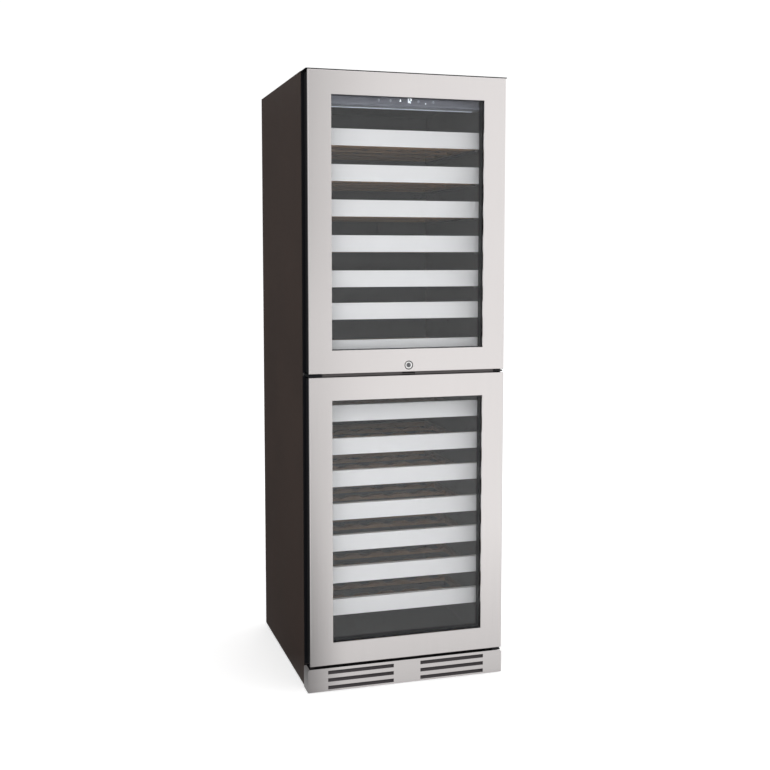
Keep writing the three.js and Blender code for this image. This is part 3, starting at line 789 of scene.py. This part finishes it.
def rear_closing_strips():
    """Thin sheet beside and above the machine cover, up to the rear panel."""
    closing = Piece("rear_closing_strips")
    front, top = panel_back - 0.001, back_low.z - CLEAR
    edge, beside = back_high.x - CLEAR, cover_high.x + 0.0005
    for x0, x1 in ((-edge, -beside), (beside, edge)):
        closing.block((x0, front, MACHINE_SPACE_TOP), (x1, panel_back, top), ZINC)
    closing.block((-beside, front, cover_high.z + CLEAR), (beside, panel_back, top), ZINC)
    closing.finish("cabinet", "zinc")


def rear_screws():
    screws = Piece("rear_screws")
    rise = (back_high.z - back_low.z - 0.04) / (PANEL_SCREW_ROWS - 1)
    for row in range(PANEL_SCREW_ROWS):
        for x in (back_low.x + 0.012, back_high.x - 0.012):
            screws.screw((x, panel_back, back_low.z + 0.02 + row * rise), "y", REAR_SCREW, CHROME)
    for x in (cover_low.x + 0.012, 0.0, cover_high.x - 0.012):
        for z in (cover_low.z + 0.01, cover_high.z - 0.01):
            screws.screw((x, cover_high.y - 0.0002, z), "y", REAR_SCREW, CHROME)
    screws.finish("cabinet", "lock_metal")


def inlet_pins():
    """The three blades inside the power inlet."""
    pins = Piece("inlet_pins")
    front, back = cover_high.y - 0.016, cover_high.y - 0.004
    for x in INLET_PINS:
        pins.block((x - 0.001, front, 0.062), (x + 0.001, back, 0.068), CHROME)
    pins.finish("cabinet", "lock_metal", 0.0003)


rear_ribs()
rear_closing_strips()
rear_screws()
inlet_pins()


# ---- studio ----
def camera():
    data = bpy.data.cameras.new("camera")
    data.sensor_width = 36.0
    data.lens = 51.88
    data.shift_x = 0.0052
    data.shift_y = -0.0442
    data.clip_end = 60.0
    view = bpy.data.objects.new("camera", data)
    view.location = (-0.986, -3.3348, 1.2432)
    view.rotation_euler = (math.radians(90 - 4.795), 0.0, math.radians(-16.751))
    bpy.context.scene.collection.objects.link(view)
    bpy.context.scene.camera = view


def soft_light(name, place, target, size, power):
    data = bpy.data.lights.new(name, "AREA")
    data.shape = "RECTANGLE"
    data.size, data.size_y = size
    data.energy = power
    light = bpy.data.objects.new(name, data)
    light.location = place
    light.rotation_euler = (Vector(target) - Vector(place)).to_track_quat("-Z", "Y").to_euler()
    bpy.context.scene.collection.objects.link(light)
    return light


# (position, level) stops. Walls run from left to right, the ceiling upwards, and the floor from the
# front to the cooler and from left to right. Mirrored walls are what glossy surfaces see in front.
WALL_TONES = [(0.10, 0.42), (0.34, 0.12), (0.585, 0.12), (0.624, 1.0)]
MIRRORED_WALL_TONES = [(0.0, 0.8), (0.50, 0.8), (0.545, 0.12), (0.585, 0.12), (0.624, 1.0)]
CEILING_TONES = [(0.35, 0.0), (0.75, 0.9)]
# The floor's darkening towards the cooler is a painted shadow of the cooler, seen only in reflections.
FLOOR_SHADOW_TONES = [(0.35, 1.0), (0.80, 0.76), (0.88, 0.68), (1.0, 0.12)]
FLOOR_SIDE_TONES = [(0.50, 0.8), (0.60, 0.30), (0.667, 0.30), (0.753, 1.0)]
FLOOR_SLANT = 0.24


def tone_curve(tree, value, stops):
    """A grey ramp through (position, level) stops."""
    curve = tree.nodes.new("ShaderNodeValToRGB")
    elements = curve.color_ramp.elements
    while len(elements) < len(stops):
        elements.new(0.5)
    for element, (position, level) in zip(elements, stops):
        element.position = position
        element.color = (level, level, level, 1.0)
    tree.links.new(value, curve.inputs["Fac"])
    return curve.outputs["Color"]


def axes(tree, vector):
    parts = tree.nodes.new("ShaderNodeSeparateXYZ")
    tree.links.new(vector, parts.inputs["Vector"])
    return parts.outputs["X"], parts.outputs["Y"], parts.outputs["Z"]


def surroundings():
    """A white backdrop to look at, and a room of bright and dark stretches for lighting and mirroring."""
    world = bpy.data.worlds.new("studio")
    world.use_nodes = True
    tree = world.node_tree
    backdrop = tree.nodes["Background"]
    backdrop.inputs["Color"].default_value = (1.0, 1.0, 1.0, 1.0)
    backdrop.inputs["Strength"].default_value = 1.05
    room = tree.nodes.new("ShaderNodeBackground")
    room.inputs["Strength"].default_value = 1.0
    path = tree.nodes.new("ShaderNodeLightPath").outputs
    x, y, z = axes(tree, tree.nodes.new("ShaderNodeTexCoord").outputs["Generated"])
    sideways = ranged(tree, x, -1.0, 1.0)
    in_front = ranged(tree, y, 0.1, -0.1)
    plain = tone_curve(tree, sideways, WALL_TONES)
    in_mirrors = tone_curve(tree, sideways, MIRRORED_WALL_TONES)
    mirrored = calculate(tree, "MULTIPLY", path["Is Glossy Ray"], in_front)
    walls = mixed(tree, "MIX", mirrored, plain, in_mirrors)
    ceiling = tone_curve(tree, z, CEILING_TONES)
    tree.links.new(mixed(tree, "LIGHTEN", 1.0, walls, ceiling), room.inputs["Color"])
    seen = calculate(tree, "MAXIMUM", path["Is Camera Ray"], path["Is Transmission Ray"])
    mixed_surface(tree, seen, room.outputs["Background"], backdrop.outputs["Background"], "World Output")
    bpy.context.scene.world = world


def paper_floor():
    """A white floor that glows a little. Mirrored, it is darker near the cooler, a painted shadow of the
    cooler, and along one stretch.
    """
    ground = bmesh.new()
    bmesh.ops.create_grid(ground, x_segments=1, y_segments=1, size=40.0)
    data = bpy.data.meshes.new("studio_floor")
    ground.to_mesh(data)
    ground.free()
    paper = Finish("studio_paper", (0.85, 0.85, 0.85), 1.0, Specular_IOR_Level=0.0)
    mottle = paper.noise(paper.coordinates(), 2.0, 2.0)
    paper.feed("Base Color", paper.ramp(mottle, (0.84, 0.84, 0.84), (0.855, 0.855, 0.855)))
    paper.set("Emission Color", (1.0, 1.0, 1.0, 1.0))
    paper.set("Emission Strength", 0.45)
    tree = paper.tree
    x, y, _ = axes(tree, tree.nodes.new("ShaderNodeNewGeometry").outputs["Position"])
    ahead = ranged(tree, y, -3.0, 0.0)
    across = ranged(tree, calculate(tree, "MULTIPLY_ADD", y, FLOOR_SLANT, x), -1.40, 0.10)
    painted_shadow_tones = tone_curve(tree, ahead, FLOOR_SHADOW_TONES)
    side_tones = tone_curve(tree, across, FLOOR_SIDE_TONES)
    reflected = tree.nodes.new("ShaderNodeEmission")
    tree.links.new(mixed(tree, "MULTIPLY", 1.0, painted_shadow_tones, side_tones), reflected.inputs["Color"])
    path = tree.nodes.new("ShaderNodeLightPath").outputs
    mirrored = calculate(tree, "SUBTRACT", path["Is Glossy Ray"], path["Is Transmission Ray"], clamp=True)
    white = paper.shader.outputs["BSDF"]
    mixed_surface(tree, mirrored, white, reflected.outputs["Emission"], "Material Output")
    data.materials.append(paper.material)
    floor = bpy.data.objects.new("studio_floor", data)
    floor.location.z = -0.0002
    bpy.context.scene.collection.objects.link(floor)


def studio():
    bpy.context.scene.view_settings.view_transform = "Standard"
    surroundings()
    paper_floor()
    key = soft_light("key", (-1.25, -4.0, 1.95), (0.0, 0.0, 0.85), (3.4, 3.4), 56.0)
    fill = soft_light("fill", (3.2, -2.4, 2.0), (0.0, 0.0, 0.9), (2.0, 2.8), 12.0)
    for light in (key, fill):
        light.visible_glossy = False
    soft_light("back", (0.5, 3.4, 3.0), (0.0, 0.0, 0.9), (2.4, 1.6), 14.0)


camera()
studio()
